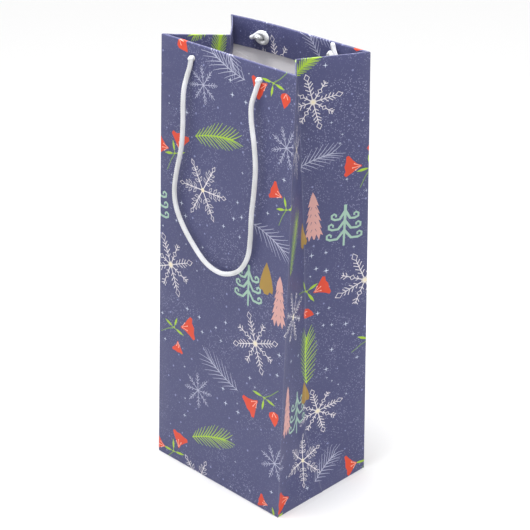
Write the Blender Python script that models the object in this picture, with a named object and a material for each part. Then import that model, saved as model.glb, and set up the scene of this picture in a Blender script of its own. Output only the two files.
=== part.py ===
"""Wine gift bag: folded paper blank, card inserts, base board and two knotted cord handles.

Metres, +Z up. The origin is the middle of the base, on the surface the bag stands on.
The front faces -Y. Run with: blender --background --python part.py
"""

import math

import bmesh
import bpy
from mathutils import Matrix, Vector

# Driving dimensions of the folded bag
BAG_WIDTH = 0.120
BASE_DEPTH = 0.088
FRONT_MOUTH = 0.0318           # from the middle crease to the front panel's top edge
BACK_MOUTH = 0.0350            # and to the back panel's, which leans in less
PANEL_HEIGHT = 0.309          # along the leaning front and back panels
PAPER = 0.0003
GAP = 0.0003                  # between pieces that touch on the real bag

# Gussets: the side creases that fold inwards
FOOT_INSET = 0.0170           # how far the side is pushed in where the crease starts
MOUTH_INSET = 0.0305          # how far it is pushed in at the mouth
MOUTH_DIP = 0.0037            # the crease ends this much below the panels' top edge
CREASE_BOW = 0.0030           # the crease bows outwards between its ends

# Turned-in hem, the cards inside it, the glued seam and the base
HEM = 0.022
TOP_CARD = 0.0008
TOP_CARD_HEIGHT = 0.0185
SEAM_TAB_WIDTH = 0.014
FLAP_REACH = 0.62             # share of the base depth that each long flap covers
DUST_FLAP_REACH = 0.038
BASE_BOARD = 0.0012

# Cord handles
CORD_RADIUS = 0.00165
HOLE_RADIUS = 0.0020
HOLE_SPACING = 0.060
HOLE_DROP = 0.0097            # from the top edge to the middle of the hole
KNOT_RADIUS = 0.0043
KNOT_LENGTH = 0.0075
KNOT_TAIL = 0.0030
CORD_POINT_STEP = 0.0080
CORD_FACETS = 16              # around a knot

# Route of a hanging handle: across the panel, out from its face, down from the top edge
HANDLE_ROUTE = [
    (-0.0300, 0.00195, 0.0117),
    (-0.0308, 0.0021, 0.0157),
    (-0.0322, 0.0030, 0.0217),
    (-0.0330, 0.0046, 0.0297),
    (-0.0330, 0.0053, 0.0387),
    (-0.0328, 0.0054, 0.0537),
    (-0.0345, 0.0050, 0.0697),
    (-0.0388, 0.0045, 0.0857),
    (-0.0416, 0.0040, 0.0992),
    (-0.0408, 0.0036, 0.1112),
    (-0.0355, 0.0033, 0.1222),
    (-0.0261, 0.0031, 0.1330),
    (-0.0130, 0.0030, 0.1434),
    (0.0000, 0.0030, 0.1468),
    (0.0110, 0.0030, 0.1445),
    (0.0205, 0.0031, 0.1382),
    (0.0271, 0.0033, 0.1272),
    (0.0292, 0.0036, 0.1142),
    (0.0302, 0.0042, 0.0972),
    (0.0324, 0.0048, 0.0797),
    (0.0333, 0.0052, 0.0642),
    (0.0316, 0.0053, 0.0497),
    (0.0284, 0.0050, 0.0357),
    (0.0270, 0.0040, 0.0257),
    (0.0284, 0.0024, 0.0172),
    (0.0300, 0.00195, 0.0117),
]

# Worked out from the driving dimensions
HALF_WIDTH = BAG_WIDTH / 2
HALF_BASE = BASE_DEPTH / 2
FRONT_LEAN = math.asin((HALF_BASE - FRONT_MOUTH) / PANEL_HEIGHT)
BACK_LEAN = math.asin((HALF_BASE - BACK_MOUTH) / PANEL_HEIGHT)
FOOT_HEIGHT = math.sqrt(HALF_BASE ** 2 - FOOT_INSET ** 2)
LAYER = PAPER + GAP
HOLE_HEIGHT = PANEL_HEIGHT - HOLE_DROP
AXIS_OUT = CORD_RADIUS + GAP
EDGE_CLEARANCE = 0.0035       # side edge of a card or hem to the corner fold
GUSSET_ROWS = 12
GUSSET_COLUMNS = 3


def clear_scene():
    for old in list(bpy.data.objects):
        bpy.data.objects.remove(old, do_unlink=True)


def make_material(name, colour, roughness):
    material = bpy.data.materials.new(name)
    material.use_nodes = True
    shader = material.node_tree.nodes["Principled BSDF"]
    shader.inputs["Base Color"].default_value = (*colour, 1.0)
    shader.inputs["Roughness"].default_value = roughness
    shader.inputs["Metallic"].default_value = 0.0
    material.diffuse_color = (*colour, 1.0)
    return material


def add_object(name, data, material, parent=None):
    part = bpy.data.objects.new(name, data)
    bpy.context.scene.collection.objects.link(part)
    part.parent = parent
    if material:
        data.materials.append(material)
    return part


def finish_mesh(name, shape, material, parent=None, smooth=False):
    bmesh.ops.recalc_face_normals(shape, faces=shape.faces[:])
    mesh = bpy.data.meshes.new(name)
    shape.to_mesh(mesh)
    shape.free()
    part = add_object(name, mesh, material, parent)
    if smooth:
        mesh.shade_smooth()
        mesh.set_sharp_from_angle(angle=math.radians(40))
    return part


def add_frame(name, matrix, parent=None):
    """An empty whose X runs across, Y into the bag and Z up the wall."""
    frame = bpy.data.objects.new(name, None)
    bpy.context.scene.collection.objects.link(frame)
    frame.parent = parent
    frame.matrix_local = matrix
    return frame


def wall_frame(name, turn, lean):
    """A frame on the outer face of the front (turn 0) or back (turn 180 degrees) panel."""
    turned = Matrix.Rotation(turn, 4, "Z")
    foot = Matrix.Translation((0.0, -HALF_BASE, 0.0))
    return add_frame(name, turned @ foot @ Matrix.Rotation(-lean, 4, "X"))


def box_between(low, high):
    """A bmesh box between two opposite corners."""
    shape = bmesh.new()
    bmesh.ops.create_cube(shape, size=1.0)
    size = Vector(high) - Vector(low)
    middle = (Vector(high) + Vector(low)) / 2
    bmesh.ops.scale(shape, vec=size, verts=shape.verts[:])
    bmesh.ops.translate(shape, vec=middle, verts=shape.verts[:])
    return shape


def punch(part, cutters):
    for cutter in cutters:
        hole = part.modifiers.new("hole", "BOOLEAN")
        hole.operation = "DIFFERENCE"
        hole.solver = "EXACT"
        hole.object = cutter


def hole_cutter(name, x, wall):
    """A pin through every layer of the wall, where the cord passes."""
    shape = bmesh.new()
    turned = Matrix.Translation((x, 0.0, HOLE_HEIGHT)) @ Matrix.Rotation(math.radians(90), 4, "X")
    bmesh.ops.create_cone(
        shape, cap_ends=True, segments=20, radius1=HOLE_RADIUS, radius2=HOLE_RADIUS,
        depth=0.02, matrix=turned)
    cutter = finish_mesh(name, shape, None, wall)
    cutter.hide_render = True
    cutter.display_type = "WIRE"
    return cutter


def wall_plate(name, wall, material, sides, heights, depth, thickness, cutters=()):
    """A flat sheet lying in the wall, from depth inwards."""
    low = (sides[0], depth, heights[0])
    high = (sides[1], depth + thickness, heights[1])
    plate = finish_mesh(name, box_between(low, high), material, wall)
    punch(plate, cutters)
    return plate


def corner_edge(share, lean):
    """The corner fold beside a panel of that lean, from base (0) to mouth (1)."""
    run = PANEL_HEIGHT * share
    return Vector((HALF_WIDTH, run * math.sin(lean) - HALF_BASE, run * math.cos(lean)))


def crease_edge(share):
    """The right side's middle crease, from the tip of the foot triangle (0) to the mouth (1)."""
    inset = FOOT_INSET + (MOUTH_INSET - FOOT_INSET) * share
    inset -= CREASE_BOW * math.sin(math.pi * share)
    top = PANEL_HEIGHT * math.cos(FRONT_LEAN) - MOUTH_DIP
    return Vector((HALF_WIDTH - inset, 0.0, FOOT_HEIGHT + (top - FOOT_HEIGHT) * share))


def gusset_point(share, across, lean):
    return corner_edge(share, lean).lerp(crease_edge(share), across)


def gusset_inward(share, across, lean):
    """The sheet's normal, pointing into the bag."""
    step = 0.001
    above = gusset_point(min(share + step, 1.0), across, lean)
    below = gusset_point(max(share - step, 0.0), across, lean)
    over = gusset_point(share, 1.0, lean) - gusset_point(share, 0.0, lean)
    return (above - below).cross(over).normalized()


def gusset_sheet(name, material, mirror, lean, low, depth, corner_inset, top_inset=0.0):
    """Half of a gusset: a thin ruled sheet between the corner fold and the middle crease.

    mirror holds the signs of X and Y, low is where the sheet starts up the side."""
    shape = bmesh.new()
    layers = []
    for offset in (depth, depth + PAPER):
        grid = []
        for row in range(GUSSET_ROWS + 1):
            share = low + (1.0 - top_inset - low) * row / GUSSET_ROWS
            length = (crease_edge(share) - corner_edge(share, lean)).length
            first = corner_inset / length
            last = 1.0 - 0.0002 / length
            line = []
            for column in range(GUSSET_COLUMNS + 1):
                across = first + (last - first) * column / GUSSET_COLUMNS
                point = gusset_point(share, across, lean) + gusset_inward(share, across, lean) * offset
                line.append(shape.verts.new((point.x * mirror[0], point.y * mirror[1], point.z)))
            grid.append(line)
        layers.append(grid)
    for grid in layers:
        for row in range(GUSSET_ROWS):
            for column in range(GUSSET_COLUMNS):
                shape.faces.new((
                    grid[row][column], grid[row][column + 1],
                    grid[row + 1][column + 1], grid[row + 1][column]))
    join_rims(shape, rim_of(layers[0]), rim_of(layers[1]))
    return finish_mesh(name, shape, material)


def rim_of(grid):
    """The grid's border, once around."""
    bottom = grid[0]
    right = [line[-1] for line in grid[1:]]
    top = grid[-1][-2::-1]
    left = [line[0] for line in grid[-2:0:-1]]
    return bottom + right + top + left


def join_rims(shape, outer, inner):
    for index, corner in enumerate(outer):
        following = (index + 1) % len(outer)
        shape.faces.new((corner, outer[following], inner[following], inner[index]))


def foot_triangle(name, material, side):
    """The flat triangle between the base edge and the two diagonal folds of a side."""
    tilt = math.asin(FOOT_INSET / HALF_BASE)
    edge_gap = 0.0006
    low = edge_gap
    tip = HALF_BASE - edge_gap
    reach = HALF_BASE - low - 0.0010
    outline = [(-reach, low), (reach, low), (0.0, tip - 0.0004)]
    shape = bmesh.new()
    layers = []
    for offset in (0.0, PAPER):
        layer = []
        for along, up in outline:
            x = HALF_WIDTH - up * math.sin(tilt) - offset * math.cos(tilt)
            z = up * math.cos(tilt) - offset * math.sin(tilt)
            layer.append(shape.verts.new((x * side, along, z)))
        shape.faces.new(layer)
        layers.append(layer)
    join_rims(shape, layers[0], layers[1])
    return finish_mesh(name, shape, material)


def flat_flap(name, material, outline, height, thickness=PAPER):
    """A level sheet of the base, its outline given in X and Y."""
    shape = bmesh.new()
    face = shape.faces.new([shape.verts.new((x, y, height)) for x, y in outline])
    raised = bmesh.ops.extrude_face_region(shape, geom=[face])
    moved = [item for item in raised["geom"] if isinstance(item, bmesh.types.BMVert)]
    bmesh.ops.translate(shape, vec=(0.0, 0.0, thickness), verts=moved)
    return finish_mesh(name, shape, material)


def rectangle(low, high):
    return [(low[0], low[1]), (high[0], low[1]), (high[0], high[1]), (low[0], high[1])]


def build_wall(side, frame, paper, card, tab_side=None):
    """The panel, its reinforcing card and its turned-in hem; one wall also has the seam tab."""
    half = HALF_WIDTH
    inner = half - EDGE_CLEARANCE
    cutters = []
    for label, x in (("left", -HOLE_SPACING / 2), ("right", HOLE_SPACING / 2)):
        cutters.append(hole_cutter(f"{side}_{label}_hole", x, frame))
    wall_plate(f"{side}_panel", frame, paper, (-half, half), (GAP, PANEL_HEIGHT), 0.0, PAPER, cutters)
    card_top = PANEL_HEIGHT - 0.0010
    wall_plate(
        f"{side}_top_card", frame, card, (-inner, inner), (card_top - TOP_CARD_HEIGHT, card_top),
        LAYER, TOP_CARD, cutters)
    wall_plate(
        f"{side}_hem", frame, paper, (-inner, inner), (PANEL_HEIGHT - HEM, PANEL_HEIGHT - GAP),
        LAYER + TOP_CARD + GAP, PAPER, cutters)
    if tab_side:
        edge = half - 0.0016
        span = sorted((tab_side * edge, tab_side * (edge - SEAM_TAB_WIDTH)))
        wall_plate("glue_seam_tab", frame, paper, span, (0.0045, PANEL_HEIGHT - HEM - 0.001), LAYER, PAPER)


def build_sides(paper):
    """Both gussets: two ruled halves, their hems and the foot triangle on each side."""
    for x_name, x_sign in (("right", 1), ("left", -1)):
        for y_name, y_sign, lean in (("front", 1, FRONT_LEAN), ("back", -1, BACK_LEAN)):
            mirror = (x_sign, y_sign)
            gusset_sheet(f"{x_name}_gusset_{y_name}", paper, mirror, lean, 0.0022, 0.0, 0.0012)
            gusset_sheet(
                f"{x_name}_hem_{y_name}", paper, mirror, lean, 1.0 - HEM / PANEL_HEIGHT, LAYER, 0.0046, 0.001)
        foot_triangle(f"{x_name}_gusset_foot", paper, x_sign)


def build_base(paper, board):
    """Overlapping base flaps, the dust flaps above them and the loose board on top."""
    side = HALF_WIDTH - 0.0012
    edge = HALF_BASE - 0.0008
    reach = BASE_DEPTH * FLAP_REACH
    flat_flap("base_flap_front", paper, rectangle((-side, -edge), (side, reach - HALF_BASE)), 0.0)
    flat_flap("base_flap_back", paper, rectangle((-side, HALF_BASE - reach), (side, edge)), LAYER)
    for name, sign in (("right", 1), ("left", -1)):
        root = (side - 0.0004) * sign
        tip = root - DUST_FLAP_REACH * sign
        slope = DUST_FLAP_REACH * 0.35
        outline = [(root, -edge), (root, edge), (tip, edge - slope), (tip, slope - edge)]
        flat_flap(f"dust_flap_{name}", paper, outline, 2 * LAYER)
    board_side = side - 0.0012
    board_edge = edge - 0.0010
    outline = rectangle((-board_side, -board_edge), (board_side, board_edge))
    flat_flap("base_board", board, outline, 3 * LAYER, BASE_BOARD)


def knot_profile():
    """Half outline of a knot: its ball end outside, the cord in the hole, the knot, its tail."""
    ball = 5
    profile = []
    for step in range(ball + 1):
        angle = math.radians(90) * step / ball
        profile.append((-AXIS_OUT - CORD_RADIUS * math.cos(angle), CORD_RADIUS * math.sin(angle)))
    start = LAYER + TOP_CARD + GAP + PAPER + GAP
    swell = 8
    for step in range(swell + 1):
        angle = math.radians(180) * step / swell
        radius = CORD_RADIUS + (KNOT_RADIUS - CORD_RADIUS) * math.sin(angle) ** 0.6
        profile.append((start + KNOT_LENGTH * (1 - math.cos(angle)) / 2, radius))
    end = start + KNOT_LENGTH + KNOT_TAIL
    profile.append((end, CORD_RADIUS))
    profile.append((end, 0.0))
    return profile


def build_knot(name, x, wall, material):
    """A turned solid around the hole's own axis."""
    shape = bmesh.new()
    chain = [shape.verts.new((radius, depth, 0.0)) for depth, radius in knot_profile()]
    edges = [shape.edges.new(pair) for pair in zip(chain, chain[1:])]
    bmesh.ops.spin(
        shape, geom=chain + edges, cent=(0, 0, 0), axis=(0, 1, 0), steps=CORD_FACETS,
        angle=math.radians(360), use_merge=True)
    bmesh.ops.remove_doubles(shape, verts=shape.verts[:], dist=0.00001)
    knot = finish_mesh(name, shape, material, wall, smooth=True)
    knot.location = (x, 0.0, HOLE_HEIGHT)


def curve_point(points, place):
    """A point on the smooth curve through the route, place counting its spans."""
    last = len(points) - 1
    span = min(int(place), last - 1)
    share = place - span
    before = points[max(span - 1, 0)]
    start = points[span]
    end = points[span + 1]
    after = points[min(span + 2, last)]
    pull = (end - before) * share
    curve = (before * 2 - start * 5 + end * 4 - after) * share ** 2
    twist = (start * 3 - before - end * 3 + after) * share ** 3
    return start + (pull + curve + twist) / 2


def smooth_route(points, step):
    """Evenly spaced points on the smooth curve through the route."""
    fine = 40
    dense = [curve_point(points, index / fine) for index in range((len(points) - 1) * fine + 1)]
    travelled = [0.0]
    for here, there in zip(dense, dense[1:]):
        travelled.append(travelled[-1] + (there - here).length)
    count = round(travelled[-1] / step)
    route = []
    index = 0
    for number in range(count + 1):
        target = travelled[-1] * number / count
        while index < len(dense) - 2 and travelled[index + 1] < target:
            index += 1
        share = (target - travelled[index]) / (travelled[index + 1] - travelled[index])
        route.append(dense[index].lerp(dense[index + 1], share))
    return route


def build_handle(name, wall, material):
    """The hanging cord, its origin on the line through the two holes that it swings about."""
    axis = add_frame(f"{name}_axis", Matrix.Translation((0.0, -AXIS_OUT, HOLE_HEIGHT)), wall)
    points = []
    for across, out, drop in HANDLE_ROUTE:
        points.append(Vector((across, AXIS_OUT - out, PANEL_HEIGHT - drop - HOLE_HEIGHT)))
    route = smooth_route(points, CORD_POINT_STEP)
    data = bpy.data.curves.new(f"{name}_cord", "CURVE")
    data.dimensions = "3D"
    data.bevel_depth = CORD_RADIUS
    data.bevel_resolution = 2
    data.use_fill_caps = True
    spline = data.splines.new("POLY")
    spline.points.add(len(route) - 1)
    for point, place in zip(spline.points, route):
        point.co = (*place, 1.0)
    add_object(f"{name}_cord", data, material, axis)


def main():
    clear_scene()
    paper = make_material("printed_paper", (0.115, 0.125, 0.235), 0.55)
    card = make_material("grey_card", (0.45, 0.43, 0.40), 0.85)
    board = make_material("white_board", (0.86, 0.86, 0.85), 0.70)
    cord = make_material("twisted_cord", (0.84, 0.83, 0.80), 0.80)
    front = wall_frame("front_wall", 0.0, FRONT_LEAN)
    back = wall_frame("back_wall", math.pi, BACK_LEAN)
    build_wall("front", front, paper, card)
    build_wall("back", back, paper, card, tab_side=1)
    build_sides(paper)
    build_base(paper, board)
    for side, wall in (("front", front), ("back", back)):
        build_handle(f"{side}_handle", wall, cord)
        for label, x in (("left", -HOLE_SPACING / 2), ("right", HOLE_SPACING / 2)):
            build_knot(f"{side}_knot_{label}", x, wall, cord)


main()
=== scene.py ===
# %% [markdown]
# # A printed wine gift bag
# The bag is one sheet of printed paper, folded and glued, with two cord handles.
# The CAD model of it is loaded first, as a fixed frame in metres, and stays as it is. What is
# made here is laid out on it. The paper leaves it by a few millimetres in two places, where
# the mouth is not square: the back panel's left end and the left side's crease.

# %% Load the frame
import math
import random

import bmesh
import bpy
import numpy as np
from mathutils import Matrix, Vector, geometry


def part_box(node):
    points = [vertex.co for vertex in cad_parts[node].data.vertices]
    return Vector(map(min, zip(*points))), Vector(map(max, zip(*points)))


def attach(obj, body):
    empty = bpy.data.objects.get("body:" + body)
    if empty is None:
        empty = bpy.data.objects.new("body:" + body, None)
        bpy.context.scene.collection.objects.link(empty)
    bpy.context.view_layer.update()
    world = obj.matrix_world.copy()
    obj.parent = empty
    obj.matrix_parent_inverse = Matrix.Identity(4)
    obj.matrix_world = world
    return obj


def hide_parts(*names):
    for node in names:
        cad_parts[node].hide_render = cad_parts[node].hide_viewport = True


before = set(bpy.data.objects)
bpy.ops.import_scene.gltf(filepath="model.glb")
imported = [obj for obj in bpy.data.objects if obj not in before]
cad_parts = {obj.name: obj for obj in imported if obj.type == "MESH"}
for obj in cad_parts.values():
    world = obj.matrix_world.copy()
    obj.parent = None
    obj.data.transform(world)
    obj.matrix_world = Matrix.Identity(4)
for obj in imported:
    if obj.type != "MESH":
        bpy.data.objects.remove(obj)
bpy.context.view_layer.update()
print("nodes in the frame:", len(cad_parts))

# %% [markdown]
# ## The camera
# A product picture is taken from far away with a long lens, so that upright edges stay nearly
# parallel. The direction is given as an azimuth round the bag and an elevation above the
# table, which is easier to change than three Euler angles. The rotation is then built from
# the view's own right, up and back vectors.

# %% Place the camera


def place_object(name, data):
    """A new object for a mesh, a lamp or a camera, linked to the scene."""
    item = bpy.data.objects.new(name, data)
    bpy.context.scene.collection.objects.link(item)
    return item


CAMERA_PLACE = Vector((0.663, -0.672, 0.604))
CAMERA_AZIMUTH = math.radians(44.47)
CAMERA_ELEVATION = math.radians(25.51)
CAMERA_ROLL = math.radians(0.34)
LENS_MM = 105.5


def view_axes(azimuth, elevation, roll):
    """The camera's right, up and back directions."""
    flat = math.cos(elevation)
    back = Vector((math.sin(azimuth) * flat, -math.cos(azimuth) * flat, math.sin(elevation)))
    right = Vector((math.cos(azimuth), math.sin(azimuth), 0.0))
    up = back.cross(right)
    rolled_right = right * math.cos(roll) + up * math.sin(roll)
    rolled_up = up * math.cos(roll) - right * math.sin(roll)
    return rolled_right, rolled_up, back


camera_data = bpy.data.cameras.new("camera")
camera_data.lens = LENS_MM
camera_data.clip_end = 20.0
camera = place_object("camera", camera_data)
turned = Matrix(view_axes(CAMERA_AZIMUTH, CAMERA_ELEVATION, CAMERA_ROLL)).transposed()
camera.matrix_world = Matrix.Translation(CAMERA_PLACE) @ turned.to_4x4()
bpy.context.scene.camera = camera
print("camera stands", round(CAMERA_PLACE.length, 3), "m from the middle of the base")

# %% [markdown]
# ## The bag's sizes
# These repeat the driving sizes of the CAD model. Two of them are printed beside the same
# size read from the frame, so a mistake here would show at once.

# %% Sizes
BAG_WIDTH = 0.120
BASE_DEPTH = 0.088
FRONT_MOUTH = 0.0318          # from the middle crease to the front panel's top edge
BACK_MOUTH = 0.0350           # and to the back panel's, which leans in less
PANEL_HEIGHT = 0.309
PAPER = 0.0003
LAYER = 0.0006                # one thickness of paper and the gap beside it
FOOT_INSET = 0.0170
MOUTH_INSET = 0.0305
MOUTH_DIP = 0.0037            # how far the right side's crease ends below the front panel's top edge
LEFT_DIP = 0.0006             # the left side is folded in less, so its crease stands higher
CREASE_BOW = 0.0030
HEM_DEPTH = 0.0020            # from the outer face of a wall to the printed face of its hem
SIDE_HEM_DEPTH = 0.0009
CORD_RADIUS = 0.00165
HOLE_RADIUS = 0.0021
HOLE_SPACING = 0.060
HOLE_DROP = 0.0097

LEFT_SPRING = 0.0045          # how far the back panel's left end stands forward at the mouth
SPRING_START = 0.010          # where on its width that bow begins

HALF_WIDTH = BAG_WIDTH / 2
HALF_BASE = BASE_DEPTH / 2
FRONT_LEAN = math.asin((HALF_BASE - FRONT_MOUTH) / PANEL_HEIGHT)
BACK_LEAN = math.asin((HALF_BASE - BACK_MOUTH) / PANEL_HEIGHT)
FRONT_TOP = PANEL_HEIGHT * math.cos(FRONT_LEAN)
BACK_TOP = PANEL_HEIGHT * math.cos(BACK_LEAN)
FOOT_HEIGHT = math.sqrt(HALF_BASE ** 2 - FOOT_INSET ** 2)
HOLE_HEIGHT = PANEL_HEIGHT - HOLE_DROP
AXIS_OUT = CORD_RADIUS + 0.0003

panel_low, panel_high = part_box("front_panel")
print("panel width, frame and script:", round(panel_high.x - panel_low.x, 4), BAG_WIDTH)
print("mouth height, frame and script:", round(panel_high.z, 4), round(FRONT_TOP, 4))


def wall_matrix(turn, lean):
    """X across, Y into the bag and Z up the front (turn 0) or back (turn half a circle) wall."""
    foot = Matrix.Translation((0.0, -HALF_BASE, 0.0))
    return Matrix.Rotation(turn, 4, "Z") @ foot @ Matrix.Rotation(-lean, 4, "X")


def spring_forward(places):
    """The back panel's left end stands a little forward at the mouth, so the mouth is not square."""
    across = np.clip((-places[..., 0] - SPRING_START) / (HALF_WIDTH - SPRING_START), 0.0, 1.0)
    upward = np.clip(places[..., 2] / BACK_TOP, 0.0, 1.0)
    inward = np.clip(places[..., 1] / BACK_MOUTH, 0.0, 1.0)
    sprung = places.copy()
    sprung[..., 1] -= LEFT_SPRING * (across * upward) ** 2 * inward
    return sprung


WALLS = {"front": wall_matrix(0.0, FRONT_LEAN), "back": wall_matrix(math.pi, BACK_LEAN)}

# %% [markdown]
# ## Shader helpers
# Every finish is a small node tree. A few helpers keep the trees short: one starts a material
# with its Principled shader, others add a node and set or link its inputs.

# %% Shader helpers


def start_material(name, roughness):
    """A new material, its node tree and its Principled shader."""
    material = bpy.data.materials.new(name)
    material.use_nodes = True
    shader = material.node_tree.nodes["Principled BSDF"]
    shader.inputs["Roughness"].default_value = roughness
    return material, material.node_tree, shader


def add_node(tree, kind, **values):
    """A node with inputs or properties set by name, spaces written as underscores."""
    node = tree.nodes.new(kind)
    for key, value in values.items():
        label = key.replace("_", " ")
        if label in node.inputs:
            node.inputs[label].default_value = value
        else:
            setattr(node, key, value)
    return node


def add_texture(tree, kind, place, **values):
    """A texture node, read at the place given."""
    node = add_node(tree, kind, **values)
    tree.links.new(place, node.inputs["Vector"])
    return node


def feed(tree, socket, value):
    """Links a socket to another's output, or sets it to a plain value."""
    if isinstance(value, bpy.types.NodeSocket):
        tree.links.new(value, socket)
    elif value is not None:
        socket.default_value = value


def calculate(tree, operation, first, second=None):
    node = tree.nodes.new("ShaderNodeMath")
    node.operation = operation
    feed(tree, node.inputs[0], first)
    feed(tree, node.inputs[1], second)
    return node.outputs[0]


def multiply(tree, first, second):
    return calculate(tree, "MULTIPLY", first, second)


def mix_colour(tree, factor, first, second):
    """A colour mix; first and second are sockets or colours."""
    node = tree.nodes.new("ShaderNodeMix")
    node.data_type = "RGBA"
    for index, value in ((0, factor), (6, first), (7, second)):
        feed(tree, node.inputs[index], value)
    return node.outputs[2]


def map_range(tree, value, low, high, to_low=0.0, to_high=1.0):
    node = add_node(
        tree, "ShaderNodeMapRange", From_Min=low, From_Max=high, To_Min=to_low, To_Max=to_high)
    tree.links.new(value, node.inputs["Value"])
    return node.outputs["Result"]


def add_bump(tree, shader, height, distance, strength=1.0):
    bump = add_node(tree, "ShaderNodeBump", Distance=distance, Strength=strength)
    tree.links.new(height, bump.inputs["Height"])
    tree.links.new(bump.outputs["Normal"], shader.inputs["Normal"])


def srgb(red, green, blue):
    """A colour as a printer would name it, 0 to 255, turned into the renderer's linear light."""
    linear = []
    for level in (red / 255, green / 255, blue / 255):
        linear.append(level / 12.92 if level <= 0.04045 else ((level + 0.055) / 1.055) ** 2.4)
    return (*linear, 1.0)


# %% [markdown]
# ## The cord's finish
# The handles are smooth off-white cord of many fine fibres. Their twist is real geometry, so
# the shader only adds what is finer: a little uneven soiling and short fibres, from noise on
# Object coordinates, which stay in place because the cord's object sits at the origin.

# %% Cord material


def make_cord_material():
    material, tree, shader = start_material("twisted_cord", 0.85)
    shader.inputs["Sheen Weight"].default_value = 0.25
    shader.inputs["Sheen Roughness"].default_value = 0.6
    place = add_node(tree, "ShaderNodeTexCoord").outputs["Object"]
    cloud = add_texture(tree, "ShaderNodeTexNoise", place, Scale=90.0, Detail=3.0)
    fibre = add_texture(tree, "ShaderNodeTexNoise", place, Scale=2600.0, Detail=2.0)
    clean = srgb(220, 221, 225)
    dull = srgb(203, 204, 205)
    tone = map_range(tree, cloud.outputs["Fac"], 0.35, 0.65)
    tree.links.new(mix_colour(tree, tone, dull, clean), shader.inputs["Base Color"])
    add_bump(tree, shader, fibre.outputs["Fac"], 0.0001, 0.5)
    return material


CORD_MATERIAL = make_cord_material()

# %% [markdown]
# ## Twisted cord with Geometry Nodes
# A cord is strands that wind round a path. Geometry Nodes do this well: the path is copied
# once for each strand, every copy is moved sideways by an angle that grows along the path,
# and each is given a round profile. The ends are drawn in like a rounded cap, so that a cord
# that turns about a hole always looks whole there. A core fills the middle.

# %% The cord node tree
STRANDS = 7
TWIST_PITCH = 0.011
STRAND_RADIUS = 0.00052
PATH_STEP = 0.0008
SMALLEST_CAP = 0.05           # of the full radius, at the very end of a cord
CORE_SHARE = 0.92             # of the ring on which the strands lie


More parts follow.
